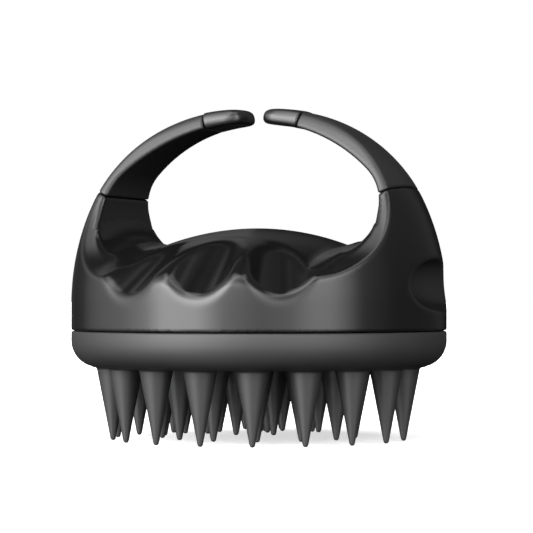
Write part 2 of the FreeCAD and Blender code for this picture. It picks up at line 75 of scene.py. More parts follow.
# Depth at which the arm widens to reach across its seams, and how far to each side of that depth
# the widening goes.
SEAM_DEPTH = 0.8
SEAM_WIDENING = 0.15
# Below this height everything is shell; the slanting seam planes only part what lies above it.
HORNS_ONLY = 47.5

# Front and back faces of the horns: a straight taper that flares into the rim. The half width is
# the one at the height of the arm's seam.
HORN_HALF_WIDTH = 12.4
HORN_TAPER = math.radians(22.6)
FLARE_RADIUS = 34.0
FLARE_CENTRE = (43.66, 66.07)

# How far the dome reaches past the horns' faces in the middle. At the horns it is cut flush with them.
RIM_HEIGHT = 8.0
# Sloping land on top of the rim: its radius and height at the wall, and its slope.
LAND_RADIUS = 39.7
LAND_HEIGHT = 34.2
LAND_SLOPE = math.radians(36.0)

# Dome under the fingers, and the valley that leads from it into the fillet at each horn's root.
DOME_HEIGHT = 44.7
DOME_ARC_RADIUS = 50.0
DOME_CROSS_RADIUS = 92.4
VALLEY_START = 20.6
VALLEY_SLOPE = 0.32
ROOT_RADIUS = 6.0
ROOT_CENTRE = (24.3, 48.2)
# Share of the root fillet's radius that is used, so that the profile never stands upright.
ROOT_SHARE = 0.97

# Finger scoops: round channels that rise inwards and run out on the dome. Each has its foot on the
# rim, as (x, y), and its turn about Z; the other values are shared.
MIDDLE_SCOOP_REACH = 38.5
SIDE_SCOOP_REACH = 34.9
SIDE_SCOOP_OFFSET = 16.3
SIDE_SCOOP_TURN = math.radians(19.0)
SCOOPS = [((0.0, -MIDDLE_SCOOP_REACH), 0.0)]
SCOOPS += [((side * SIDE_SCOOP_OFFSET, -SIDE_SCOOP_REACH), side * SIDE_SCOOP_TURN) for side in (1, -1)]
SCOOP_FOOT_HEIGHT = 31.3
SCOOP_RADIUS = 8.4
SCOOP_SLOPE = math.radians(33.5)
SCOOP_LENGTH = 24.0

# Oval dimple in the wall under each horn: an ellipsoid's place and half axes along X, Y and Z.
DIMPLE_OUT = 41.1
DIMPLE_HEIGHT = 33.2
DIMPLE_AXES = (4.5, 32.9, 5.9)

# Hollow of the shell: radius and ceiling of its mouth, of a ring above that and of a vault, whose
# sloping shoulder goes through a point (radius, height) and has a normal (outwards, upwards).
MOUTH_RADIUS = 37.2
MOUTH_CEILING = 26.2
RING_RADIUS = 35.0
RING_CEILING = 28.5
VAULT_RADIUS = 22.0
VAULT_CEILING = 40.0
VAULT_SHOULDER = (18.0, 33.0)
VAULT_NORMAL = (0.72, 0.69)

# Bosses for the plate's screws, with a pilot hole in each: places, radii, lowest and highest ends.
SCREW_RADIUS = 28.0
SCREW_ANGLE = math.radians(35.0)
BOSS_RADIUS = 3.2
BOSS_ENDS = (25.85, 30.0)
PILOT_RADIUS = 1.0
PILOT_ENDS = (24.0, 34.0)

# Tip caps: half the gap between them, how proud they stand of the arms, and the round nose, which
# is longer along Y and lower along Z than a ball.
HALF_TIP_GAP = 1.15
TIP_PROUD = 0.2
NOSE_REACH = 6.0
NOSE_HEIGHT = 67.9
NOSE_RADIUS = 4.6
NOSE_STRETCH = 1.55
NOSE_FLATTENING = 1.05

# Widths of the blends where two surfaces meet. A fillet's radius is about twice its blend.
#
# The outer edge is rounded wide along the rim by the scoops and crisp along the horns; the change
# starts at RIM_ROUND_SIDE from the middle and takes RIM_ROUND_FADE.
RIM_ROUND = 1.7
EDGE_ROUND = 0.8
RIM_ROUND_SIDE = 15.0
RIM_ROUND_FADE = 11.0
# The scoops' edges are blended wider from LIP_START out to the wall, where they form the lips.
SCOOP_BLEND = 1.0
LIP_BLEND = 1.8
LIP_START = 33.5
# Between two scoops, which leaves a low round ridge.
RIDGE_BLEND = 3.0
# The other blends, each named after the edge or the piece that it rounds.
HORN_BLEND = 1.0
ROOT_BLEND = 1.2
DOME_EDGE_BLEND = 0.8
LAND_BLEND = 1.2
DIMPLE_BLEND = 0.7
HOLLOW_BLEND = 0.6
SEAM_BLEND = 0.4
ARM_FOOT_BLEND = 0.5
TIP_CORNER_BLEND = 2.0
TIP_BLEND = 1.2
TIP_END_BLEND = 1.5

# Small step over which slopes are measured, and the least divisor.
PROBE = 0.05
TINY = 1e-6


# ---------------------------------------------------------------- distance functions
def smooth_max(a, b, blend):
    """The larger of two distances, rounded where they differ by less than the blend."""
    closeness = np.maximum(blend - np.abs(a - b), 0.0) / blend
    return np.maximum(a, b) + closeness * closeness * blend * 0.25


def smooth_min(a, b, blend):
    return -smooth_max(-a, -b, blend)


def smooth_step(amount):
    part = np.clip(amount, 0.0, 1.0)
    return part * part * (3.0 - 2.0 * part)


def egg(x, y, z):
    """Distance to the egg-shaped solid of revolution."""
    radius = np.sqrt(x * x + y * y)
    side_x = SHELL_RADIUS - SIDE_ARC_RADIUS
    shrink = SIDE_ARC_RADIUS - SHOULDER_RADIUS
    top_x = side_x + shrink * math.cos(SIDE_ARC_ANGLE)
    top_z = SIDE_ARC_START + shrink * math.sin(SIDE_ARC_ANGLE)
    angle = np.arctan2(z - SIDE_ARC_START, radius - side_x)
    wall = radius - SHELL_RADIUS
    side = np.hypot(radius - side_x, z - SIDE_ARC_START) - SIDE_ARC_RADIUS
    shoulder = np.hypot(radius - top_x, z - top_z) - SHOULDER_RADIUS
    top = z - (top_z + SHOULDER_RADIUS)
    upper = np.where(radius > top_x, shoulder, top)
    return np.where(angle < 0, wall, np.where(angle < SIDE_ARC_ANGLE, side, upper))


def horn_faces(y, z):
    """Distance to the front and back faces of the horns."""
    width = np.abs(y)
    straight = (width - HORN_HALF_WIDTH) * math.cos(HORN_TAPER)
    straight = straight + (z - ARM_SEAM[1]) * math.sin(HORN_TAPER)
    from_y = FLARE_CENTRE[0] - width
    from_z = FLARE_CENTRE[1] - z
    flare = FLARE_RADIUS - np.hypot(from_y, from_z)
    foot = z - (FLARE_CENTRE[1] - FLARE_RADIUS)
    on_straight = from_z * math.cos(HORN_TAPER) < from_y * math.sin(HORN_TAPER)
    return np.where(on_straight, straight, np.where(from_y < 0, foot, flare))


def opening(x, z):
    """Distance to the opening between the horns, negative inside it, open below."""
    side = np.abs(x)
    corner_x = OPENING_HALF_WIDTH - OPENING_CORNER_RADIUS
    crown = corner_x / math.cos(OPENING_CORNER_ANGLE)
    crown_radius = crown + OPENING_CORNER_RADIUS
    crown_z = OPENING_SIDE_TOP - crown * math.sin(OPENING_CORNER_ANGLE)
    angle = np.arctan2(z - OPENING_SIDE_TOP, side - corner_x)
    plane = side - OPENING_HALF_WIDTH
    corner = np.hypot(side - corner_x, z - OPENING_SIDE_TOP) - OPENING_CORNER_RADIUS
    arch = np.hypot(side, z - crown_z) - crown_radius
    on_plane = z < OPENING_SIDE_TOP
    return np.where(on_plane, plane, np.where(angle < OPENING_CORNER_ANGLE, corner, arch))


def dome_profile(x):
    """Height of the dome's top along the line from horn to horn, rising into each horn."""
    side = np.abs(x)
    arc = DOME_HEIGHT - DOME_ARC_RADIUS
    arc = arc + np.sqrt(np.maximum(DOME_ARC_RADIUS ** 2 - side ** 2, 1.0))
    ramp = (ROOT_CENTRE[1] - ROOT_RADIUS) + (side - ROOT_CENTRE[0]) * VALLEY_SLOPE
    reach = np.clip(side - ROOT_CENTRE[0], 0.0, ROOT_RADIUS * ROOT_SHARE)
    fillet = ROOT_CENTRE[1] - np.sqrt(ROOT_RADIUS ** 2 - reach ** 2)
    rise = np.where(side > ROOT_CENTRE[0], fillet, ramp)
    return smooth_max(arc, rise, ROOT_BLEND)


def dome(x, y, z, rising):
    """Distance to the dome, whose profile is turned about an axis deep below, along X. If it isn't
    rising, it runs level from the valley's start instead of climbing into the horns."""
    axis = DOME_HEIGHT - DOME_CROSS_RADIUS
    level = np.hypot(z - axis, y) + axis
    if not rising:
        side = np.minimum(np.abs(x), VALLEY_START)
        return level - np.minimum(dome_profile(side), DOME_HEIGHT)
    height = dome_profile(x)
    slope = (dome_profile(np.abs(x) + PROBE) - height) / PROBE
    return (level - height) / np.sqrt(1.0 + slope * slope)


def land(radius, z):
    """Distance to the cone that cuts the sloping land on top of the rim."""
    return (z - LAND_HEIGHT) * math.cos(LAND_SLOPE) - (LAND_RADIUS - radius) * math.sin(LAND_SLOPE)


def channel(x, y, z, foot, turn):
    """Distance to one round channel, from its floor's foot on the rim."""
    from_x = x - foot[0]
    from_y = y - foot[1]
    from_z = z - SCOOP_FOOT_HEIGHT
    across = from_x * math.cos(turn) + from_y * math.sin(turn)
    inward = -from_x * math.sin(turn) + from_y * math.cos(turn)
    height = from_z * math.cos(SCOOP_SLOPE) - inward * math.sin(SCOOP_SLOPE)
    length = inward * math.cos(SCOOP_SLOPE) + from_z * math.sin(SCOOP_SLOPE)
    return np.maximum(np.hypot(across, height - SCOOP_RADIUS) - SCOOP_RADIUS, length - SCOOP_LENGTH)


def scoops(x, y, z):
    """Distance to the finger scoops, with low round ridges between them; the back three mirror
    the front three."""
    front = -np.abs(y)
    channels = [channel(x, front, z, foot, turn) for foot, turn in SCOOPS]
    joined = channels[0]
    for other in channels[1:]:
        joined = smooth_min(joined, other, RIDGE_BLEND)
    return joined


def dimples(x, y, z):
    """Distance, near its surface, to the ellipsoid that leaves a dimple under each horn."""
    offsets = (np.abs(x) - DIMPLE_OUT, y, z - DIMPLE_HEIGHT)
    scaled = np.sqrt(sum((offset / axis) ** 2 for offset, axis in zip(offsets, DIMPLE_AXES)))
    steep = np.sqrt(sum((offset / axis ** 2) ** 2 for offset, axis in zip(offsets, DIMPLE_AXES)))
    return scaled * (scaled - 1.0) / np.maximum(steep, TINY)


def outer_form(x, y, z):
    """Distance to the whole outer form of shell, arms and tips, before they are parted."""
    radius = np.hypot(x, y)
    faces = horn_faces(y, z)
    roots = np.minimum(-opening(x, z), dome(x, y, z, True))
    horns = smooth_max(faces, roots, HORN_BLEND)
    to_horn = smooth_step((np.abs(x) - RIM_ROUND_SIDE) / RIM_ROUND_FADE)
    middle = dome(x, y, z, False)
    middle = smooth_max(middle, faces - RIM_HEIGHT * (1.0 - to_horn), DOME_EDGE_BLEND)
    middle = smooth_max(middle, land(radius, z), LAND_BLEND)
    form = smooth_min(horns, middle, HORN_BLEND)
    form = smooth_max(form, egg(x, y, z), RIM_ROUND + (EDGE_ROUND - RIM_ROUND) * to_horn)
    to_lip = np.clip((radius - LIP_START) / (SHELL_RADIUS - LIP_START), 0.0, 1.0)
    scoop_edge = SCOOP_BLEND + (LIP_BLEND - SCOOP_BLEND) * to_lip * to_lip
    form = smooth_max(form, -scoops(x, y, z), scoop_edge)
    return smooth_max(form, -dimples(x, y, z), DIMPLE_BLEND)


def seam(x, z, where):
    """Distance to a seam's plane, positive towards the tip of the arm."""
    radius, height, tilt = where
    return (z - height) * math.cos(tilt) - (np.abs(x) - radius) * math.sin(tilt)


def between(z, ends):
    """Distance to the slab between two heights."""
    return np.maximum(z - ends[1], ends[0] - z)


def hollow(x, y, z):
    """Distance to the hollow of the shell: a straight mouth, a ring of ceiling and a vault."""
    radius = np.hypot(x, y)
    mouth = np.maximum(radius - MOUTH_RADIUS, z - MOUTH_CEILING)
    ring = np.maximum(radius - RING_RADIUS, z - RING_CEILING)
    shoulder = (radius - VAULT_SHOULDER[0]) * VAULT_NORMAL[0] + (z - VAULT_SHOULDER[1]) * VAULT_NORMAL[1]
    vault = np.maximum(np.maximum(radius - VAULT_RADIUS, z - VAULT_CEILING), shoulder)
    return np.minimum(mouth, np.minimum(ring, vault))


def shell_form(x, y, z):
    """The shell up to the lower seams, with its hollow, bosses and pilot holes."""
    above_seam = np.minimum(seam(x, z, ARM_SEAM) + SEAM_GAP / 2, z - HORNS_ONLY)
    body = smooth_max(outer_form(x, y, z), above_seam, SEAM_BLEND)
    body = smooth_max(body, -hollow(x, y, z), HOLLOW_BLEND)
    screw_x = np.abs(x) - SCREW_RADIUS * math.cos(SCREW_ANGLE)
    screw_y = np.abs(y) - SCREW_RADIUS * math.sin(SCREW_ANGLE)
    from_screw = np.hypot(screw_x, screw_y)
    boss = np.maximum(from_screw - BOSS_RADIUS, between(z, BOSS_ENDS))
    body = np.minimum(body, boss)
    pilot = np.maximum(from_screw - PILOT_RADIUS, between(z, PILOT_ENDS))
    body = np.maximum(body, -pilot)
    return smooth_max(body, SEAM_HEIGHT - z, SEAM_BLEND)


def arm_form(x, y, z):
    """An arm; under the surface it reaches across both seams, so that no light passes through them."""
    body = outer_form(x, y, z)
    gap = SEAM_GAP / 2 * np.clip((body + SEAM_DEPTH) / SEAM_WIDENING, -1.0, 1.0)
    lower = gap - seam(x, z, ARM_SEAM)
    upper = seam(x, z, TIP_SEAM) + gap
    body = smooth_max(body, lower, ARM_FOOT_BLEND)
    return smooth_max(body, upper, SEAM_BLEND)


def tip_form(x, y, z):
    """A tip cap: the end of the arm, a little proud of it, with rounded edges and a round nose."""
    side = np.abs(x)
    section = smooth_max(horn_faces(y, z), -opening(x, z), TIP_CORNER_BLEND)
    section = smooth_max(section, egg(x, y, z), TIP_BLEND) - TIP_PROUD
    from_nose = np.hypot(np.maximum(NOSE_REACH - side, 0.0), y / NOSE_STRETCH)
    nose = np.hypot(from_nose, (z - NOSE_HEIGHT) * NOSE_FLATTENING) - NOSE_RADIUS
    body = smooth_max(section, nose, TIP_BLEND)
    body = smooth_max(body, HALF_TIP_GAP - side, TIP_END_BLEND)
    return smooth_max(body, SEAM_GAP / 2 - seam(x, z, TIP_SEAM), SEAM_BLEND)


# ---------------------------------------------------------------- meshes from distance functions
# Rounds that pull a mesh's points onto the surface, and the least squared slope they divide by.
PULL_ROUNDS = 4
LEAST_SLOPE = 0.2


def net_quads(inside, index):
    """A quad across every grid line that crosses the surface, facing outwards."""
    quads = []
    for axis in range(3):
        others = [n for n in range(3) if n != axis]
        ahead = [slice(0, -1) if n == axis else slice(1, -1) for n in range(3)]
        beyond = [slice(1, None) if n == axis else slice(1, -1) for n in range(3)]
        first = inside[tuple(ahead)]
        second = inside[tuple(beyond)]
        for value in (True, False):
            found = np.argwhere((first != second) & (first == value))
            if not len(found):
                continue
            base = found + np.array([0 if n == axis else 1 for n in range(3)])
            ring = []
            for step_one, step_two in ((0, 0), (-1, 0), (-1, -1), (0, -1)):
                cell = base.copy()
                cell[:, others[0]] += step_one
                cell[:, others[1]] += step_two
                ring.append(index[cell[:, 0], cell[:, 1], cell[:, 2]])
            quad = np.stack(ring, 1)
            flip = value == (axis == 1)
            quads.append(quad[:, ::-1] if flip else quad)
    return np.concatenate(quads)


def surface_net(form, low, high, step):
    """Quads round the zero surface of a distance function, with each point pulled onto the surface."""
    axes = [np.arange(start - step, end + 2 * step, step) for start, end in zip(low, high)]
    shape = tuple(len(axis) for axis in axes)
    grid = np.empty(shape, np.float32)
    for k in range(shape[2]):
        x, y = np.meshgrid(axes[0], axes[1], indexing="ij")
        grid[:, :, k] = form(x, y, np.full_like(x, axes[2][k]))
    inside = grid < 0
    corners = [(i, j, k) for i in (0, 1) for j in (0, 1) for k in (0, 1)]

    def window(array, offset):
        """The value at one corner of every cell."""
        return array[tuple(slice(near, near + size - 1) for near, size in zip(offset, shape))]

    count = sum(window(inside, corner).astype(np.uint8) for corner in corners)
    active = (count > 0) & (count < len(corners))
    total = np.zeros(active.shape + (3,), np.float32)
    crossings = np.zeros(active.shape, np.float32)
    for axis in range(3):
        for start in corners:
            if start[axis]:
                continue
            finish = tuple(1 if n == axis else c for n, c in enumerate(start))
            first = window(grid, start)
            second = window(grid, finish)
            crossing = (first < 0) != (second < 0)
            part = np.where(crossing, first / np.where(crossing, first - second, 1.0), 0.0)
            for n in range(3):
                place = part if n == axis else float(start[n])
                total[..., n] += np.where(crossing, place, 0.0)
            crossings += crossing
    index = np.full(active.shape, -1, np.int64)
    cells = np.argwhere(active)
    index[active] = np.arange(len(cells))
    points = cells + total[active] / crossings[active][:, None]
    points = points * step + np.array([axis[0] for axis in axes])
    return pull_to_surface(form, points, step), net_quads(inside, index)


def pull_to_surface(form, points, step):
    """Moves points along the slope of a distance function to where it is zero, at most one step."""
    start = points.copy()
    for _ in range(PULL_ROUNDS):
        x, y, z = points.T
        value = form(x, y, z)
        slope = np.stack([
            form(x + PROBE, y, z) - form(x - PROBE, y, z),
            form(x, y + PROBE, z) - form(x, y - PROBE, z),
            form(x, y, z + PROBE) - form(x, y, z - PROBE),
        ], 1) / (2 * PROBE)
        size = np.maximum((slope ** 2).sum(1), LEAST_SLOPE)
        points = points - slope * (value / size)[:, None]
        points = start + np.clip(points - start, -step, step)
    return points


def mesh_object(name, points, faces):
    """Object with a smooth mesh, from points in millimetres."""
    mesh = bpy.data.meshes.new(name)
    mesh.from_pydata((np.asarray(points) * MM).tolist(), [], [list(map(int, face)) for face in faces])
    mesh.validate()
    mesh.polygons.foreach_set("use_smooth", [True] * len(mesh.polygons))
    mesh.update()
    piece = bpy.data.objects.new(name, mesh)
    bpy.context.scene.collection.objects.link(piece)
    return piece


def net_object(name, form, low, high, step):
    points, quads = surface_net(form, low, high, step)
    return mesh_object(name, points, quads)


def mirrored_object(name, source):
    """Copy of a piece, mirrored from one side to the other."""
    piece = source.copy()
    piece.data = source.data.copy()
    piece.name = name
    piece.data.name = name
    bpy.context.scene.collection.objects.link(piece)
    piece.data.transform(mathutils.Matrix.Scale(-1.0, 4, (1.0, 0.0, 0.0)))
    piece.data.flip_normals()
    return piece


# ---------------------------------------------------------------- bristle pad
PAD_FACE = cad_edge("pad_cup", LOWEST, Z_AXIS)
PAD_RIM = cad_edge("pad_cup", HIGHEST, Z_AXIS)
# Rounded lower edge: its radius, the angle where it leaves the face, and the face's radius there.
PAD_CORNER = 5.6
PAD_CORNER_START = -75.0
FACE_RADIUS = 35.45
# Pocket that the carrier plate's drum fills.
POCKET_RADIUS = 34.3
POCKET_FLOOR = 17.8
POCKET_CHAMFER = 0.4
# Small roundings, as distances inwards and down from the rim's edge, and inwards and up in the pocket.
RIM_ROUNDING = [(0.0, 0.5), (0.12, 0.14), (0.45, 0.0)]
POCKET_ROUNDING = [(0.0, 0.8), (0.25, 0.22), (0.8, 0.0)]
# Radii of the two innermost rings of points on the pocket's floor.
FLOOR_RINGS = (POCKET_RADIUS / 2, 1.0)
PAD_SEGMENTS = 192
PAD_CORNER_STEPS = 12

TOOTH_TIP = 0.58
TOOTH_SEGMENTS = 32
TOOTH_FILLET_STEPS = 5
TOOTH_SIDE_STEPS = 10
TOOTH_CAP_STEPS = 6
# A triangle of the face lies in a tooth's hole when its middle is within this share of the radius.
HOLE_SHARE = 0.985
# Points of the face that are nearer together than this count as one.
MERGE_DISTANCE = 1e-7
# Rings of teeth: number, ring radius, angle of the first tooth from +X, height of the tips,
# radius of the teeth at the root, fillet round the root.
TOOTH_RINGS = [
    (18, 31.2, -74.0, 0.0, 3.54, 0.7),
    (14, 20.9, -72.6, 0.45, 3.54, 0.7),
    (10, 12.7, -93.7, 1.45, 3.25, 0.4),
    (4, 5.3, -52.0, 1.6, 3.25, 0.4),
]


def on_circle(centre, radius, angle):
    return centre[0] + radius * math.cos(angle), centre[1] + radius * math.sin(angle)


def arc_points(centre, radius, first, last, steps):
    """Points (radius, height) on an arc, with angles in degrees from +X."""
    angles = [math.radians(first + (last - first) * n / steps) for n in range(steps + 1)]
    return [on_circle(centre, radius, angle) for angle in angles]


def tooth_profile(tip_height, base, fillet_radius):
    """Radius and height from the fillet on the pad's face down to the rounded tip."""
    lean = math.atan2(base - TOOTH_TIP, PAD_FACE - tip_height - TOOTH_TIP)
    turn = 90.0 - math.degrees(lean)
    base_edge = base + fillet_radius * math.tan(math.radians(turn / 2))
    fillet_centre = (base_edge, PAD_FACE - fillet_radius)
    fillet = arc_points(fillet_centre, fillet_radius, 90.0, 90.0 + turn, TOOTH_FILLET_STEPS)
    cap_centre = (0.0, tip_height + TOOTH_TIP)
    cap = arc_points(cap_centre, TOOTH_TIP, -math.degrees(lean), -90.0, TOOTH_CAP_STEPS)
    top_radius, top_height = fillet[-1]
    end_radius, end_height = cap[0]
    side = []
    for n in range(1, TOOTH_SIDE_STEPS):
        part = n / TOOTH_SIDE_STEPS
        radius = top_radius + (end_radius - top_radius) * part
        side.append((radius, top_height + (end_height - top_height) * part))
    return fillet + side + cap[:-1]


def add_lathe(points, faces, profile, centre, segments, end_height):
    """Adds a lathe of the profile about a vertical line, closed by one point at its end; returns
    the numbers of its first ring."""
    first = len(points)
    for radius, height in profile:
        for n in range(segments):
            points.append(on_circle(centre, radius, 2 * math.pi * n / segments) + (height,))
    for ring in range(len(profile) - 1):
        low = first + ring * segments
        for n in range(segments):
            following = (n + 1) % segments
            faces.append((low + n, low + segments + n, low + segments + following, low + following))
    points.append((centre[0], centre[1], end_height))
    last = first + (len(profile) - 1) * segments
    for n in range(segments):
        faces.append((last + n, len(points) - 1, last + (n + 1) % segments))
    return list(range(first, first + segments))


def pad_outline():
    """Radius and height from the face round the outside and the rim to the pocket's middle."""
    corner_centre = (SHELL_RADIUS - PAD_CORNER, PAD_FACE + PAD_CORNER)
    outline = [(FACE_RADIUS, PAD_FACE)]
    outline += arc_points(corner_centre, PAD_CORNER, PAD_CORNER_START, 0.0, PAD_CORNER_STEPS)
    outline += [(SHELL_RADIUS - inward, PAD_RIM - down) for inward, down in RIM_ROUNDING]
    outline += [(POCKET_RADIUS + POCKET_CHAMFER, PAD_RIM), (POCKET_RADIUS, PAD_RIM - POCKET_CHAMFER)]
    outline += [(POCKET_RADIUS - inward, POCKET_FLOOR + up) for inward, up in POCKET_ROUNDING]
    outline += [(radius, POCKET_FLOOR) for radius in FLOOR_RINGS]
    return outline


def face_with_holes(points, border, holes):
    """Triangles of the pad's flat face, between its border and the roots of the teeth."""
    loops = [border] + holes
    flat_points = [n for loop in loops for n in loop]
    place = {n: k for k, n in enumerate(flat_points)}
    edges = []
    for loop in loops:
        edges += [(place[near], place[far]) for near, far in zip(loop, loop[1:] + loop[:1])]
    flat = [mathutils.Vector(points[n][:2]) for n in flat_points]
    made = mathutils.geometry.delaunay_2d_cdt(flat, edges, [], 0, MERGE_DISTANCE)
    kept_points, triangles, origins = made[0], made[2], made[3]
    circles = []
    for loop in holes:
        ring = np.array([points[n][:2] for n in loop])
        centre = ring.mean(0)
        circles.append((centre, np.linalg.norm(ring[0] - centre) * HOLE_SHARE))
    found = []
    for triangle in triangles:
        middle = sum((kept_points[k] for k in triangle), mathutils.Vector((0.0, 0.0))) / 3
        in_hole = any(math.dist(middle, centre) < radius for centre, radius in circles)
        if in_hole or middle.length > FACE_RADIUS:
            continue
        corners = [flat_points[origins[k][0]] for k in triangle]
        found.append(tuple(reversed(corners)))
    return found


def face_outwards(piece):
    mesh = bmesh.new()
    mesh.from_mesh(piece.data)
    bmesh.ops.recalc_face_normals(mesh, faces=mesh.faces)
    mesh.to_mesh(piece.data)
    mesh.free()


def bristle_pad():
    """Cup with a rounded lower edge, its flat face with holes for the teeth, and the teeth."""
    points, faces = [], []
    border = add_lathe(points, faces, pad_outline(), (0.0, 0.0), PAD_SEGMENTS, POCKET_FLOOR)
    holes = []
    for count, ring_radius, start, tip_height, base, fillet_radius in TOOTH_RINGS:
        profile = tooth_profile(tip_height, base, fillet_radius)
        for n in range(count):
            centre = on_circle((0.0, 0.0), ring_radius, math.radians(start + 360.0 * n / count))
            holes.append(add_lathe(points, faces, profile, centre, TOOTH_SEGMENTS, tip_height))
    faces += face_with_holes(points, border, holes)
    piece = mesh_object("silicone_pad", points, faces)
    face_outwards(piece)
    return piece


# ---------------------------------------------------------------- materials
# Faint patches in the moulded materials: noise scale and detail, the two places on the ramp between
# which the colour changes, and how far colour and roughness go to each side.
PATCH_NOISE = (90.0, 4.0)
PATCH_RAMP = (0.3, 0.7)
PATCH_TINT = 0.06
PATCH_GLOSS = 0.12
GRAIN_DETAIL = 3.0
# Plated steel: noise scale and detail, darkest and lightest colour, least and most roughness.
STEEL_NOISE = (900.0, 5.0)
STEEL_DARK = (0.42, 0.42, 0.43)
STEEL_LIGHT = (0.62, 0.62, 0.64)
STEEL_ROUGHNESS = (0.25, 0.45)


def new_material(name):
    material = bpy.data.materials.new(name)
    material.use_nodes = True
    return material, material.node_tree.nodes, material.node_tree.links


def noise(nodes, links, scale, detail):
    """Noise over the piece's own coordinates."""
    place = nodes.new("ShaderNodeTexCoord")
    texture = nodes.new("ShaderNodeTexNoise")
    texture.inputs["Scale"].default_value = scale
    texture.inputs["Detail"].default_value = detail
    links.new(place.outputs["Object"], texture.inputs["Vector"])
    return texture.outputs["Fac"]


def vary_colour(nodes, links, amount, ramp, dark, light):
    """Base colour that goes from dark to light between two places on a ramp."""
    tint = nodes.new("ShaderNodeValToRGB")
    for element, place, colour in zip(tint.color_ramp.elements, ramp, (dark, light)):
        element.position = place
        element.color = tuple(colour) + (1.0,)
    links.new(amount, tint.inputs["Fac"])
    links.new(tint.outputs["Color"], nodes["Principled BSDF"].inputs["Base Color"])


def vary_roughness(nodes, links, amount, least, most):
    gloss = nodes.new("ShaderNodeMapRange")
    gloss.inputs["To Min"].default_value = least
    gloss.inputs["To Max"].default_value = most
    links.new(amount, gloss.inputs["Value"])
    links.new(gloss.outputs["Result"], nodes["Principled BSDF"].inputs["Roughness"])


def moulded(name, colour, roughness, grain_size, grain_depth):
    """Moulded plastic or rubber: faint patches in colour and roughness, and a fine grain, whose
    size and depth are in millimetres."""
    material, nodes, links = new_material(name)
    patches = noise(nodes, links, *PATCH_NOISE)
    dark = [part * (1 - PATCH_TINT) for part in colour]
    light = [part * (1 + PATCH_TINT) for part in colour]
    vary_colour(nodes, links, patches, PATCH_RAMP, dark, light)
    vary_roughness(nodes, links, patches, roughness * (1 - PATCH_GLOSS), roughness * (1 + PATCH_GLOSS))
    bump = nodes.new("ShaderNodeBump")
    bump.inputs["Strength"].default_value = 1.0
    bump.inputs["Distance"].default_value = grain_depth * MM
    grain = noise(nodes, links, 1.0 / (grain_size * MM), GRAIN_DETAIL)
    links.new(grain, bump.inputs["Height"])
    links.new(bump.outputs["Normal"], nodes["Principled BSDF"].inputs["Normal"])
    return material


def plated_steel(name):
    """Zinc-plated steel: metal with fine specks in colour and roughness."""
    material, nodes, links = new_material(name)
    nodes["Principled BSDF"].inputs["Metallic"].default_value = 1.0
    specks = noise(nodes, links, *STEEL_NOISE)
    vary_colour(nodes, links, specks, (0.0, 1.0), STEEL_DARK, STEEL_LIGHT)
    vary_roughness(nodes, links, specks, *STEEL_ROUGHNESS)
    return material


# Each moulded material's colour, roughness, and the size and depth of its grain.
SHELL_MATERIAL = moulded("shell_gloss_black", (0.004, 0.004, 0.0041), 0.17, 0.9, 0.0012)
ARM_MATERIAL = moulded("arm_soft_touch", (0.012, 0.012, 0.0123), 0.4, 0.35, 0.006)
TIP_MATERIAL = moulded("tip_polished_black", (0.01, 0.01, 0.0103), 0.2, 0.9, 0.001)
PAD_MATERIAL = moulded("pad_silicone", (0.02, 0.02, 0.0204), 0.5, 0.3, 0.004)
INNER_MATERIAL = moulded("inner_matt_plastic", (0.06, 0.06, 0.062), 0.55, 0.25, 0.01)
SEAL_MATERIAL = moulded("seal_rubber", (0.02, 0.02, 0.02), 0.6, 0.2, 0.01)
SCREW_MATERIAL = plated_steel("screw_plated_steel")


def dress(piece, material):
    piece.data.materials.clear()
    piece.data.materials.append(material)


def dress_node(node, material):
    """Gives a carried-over CAD node a better material in all of its slots."""
    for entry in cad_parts[node].material_slots:
        entry.material = material


# ---------------------------------------------------------------- pieces
# Block that each net fills, as its lowest and highest corner, and the size of its cells.
SHELL_NET = ((-40.6, -40.6, 22.9), (40.6, 40.6, 54.6), 0.485)
ARM_NET = ((8.0, -14.0, 49.5), (35.6, 14.0, 70.5), 0.34)
TIP_NET = ((0.6, -8.0, 63.5), (12.6, 8.0, 70.6), 0.22)


def place_shell():
    shell = net_object("shell", shell_form, *SHELL_NET)
    dress(shell, SHELL_MATERIAL)
    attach(shell, "housing")
    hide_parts("body_shell")


def place_arms():
    arm = net_object("arm_right", arm_form, *ARM_NET)
    other_arm = mirrored_object("arm_left", arm)
    for piece, node in ((arm, "handle_arm_right"), (other_arm, "handle_arm_left")):
        dress(piece, ARM_MATERIAL)
        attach(piece, "housing")
        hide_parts(node)


def place_tips():
    tip = net_object("tip_right", tip_form, *TIP_NET)
    other_tip = mirrored_object("tip_left", tip)
    for piece, node in ((tip, "tip_cap_right"), (other_tip, "tip_cap_left")):
        dress(piece, TIP_MATERIAL)
        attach(piece, "housing")
        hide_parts(node)


def place_pad():
    pad = bristle_pad()
    dress(pad, PAD_MATERIAL)
    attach(pad, "pad")
    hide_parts("pad_cup", "outer_teeth", "second_teeth", "third_teeth", "centre_teeth")


def dress_inner_nodes():
    dress_node("carrier_plate", INNER_MATERIAL)
    dress_node("plate_screws", SCREW_MATERIAL)
    dress_node("seal_ring", SEAL_MATERIAL)


# ---------------------------------------------------------------- floor
# Floor, in metres: half its side, and the distances from the object between which its glow rises.
FLOOR_HALF_SIDE = 6.0
FLOOR_COLOUR = (0.8, 0.8, 0.8, 1.0)
FLOOR_ROUGHNESS = 0.9
GLOW_REACH = (0.05, 0.35)
GLOW_STRENGTH = (0.6, 1.0)
WHITE = (1.0, 1.0, 1.0, 1.0)


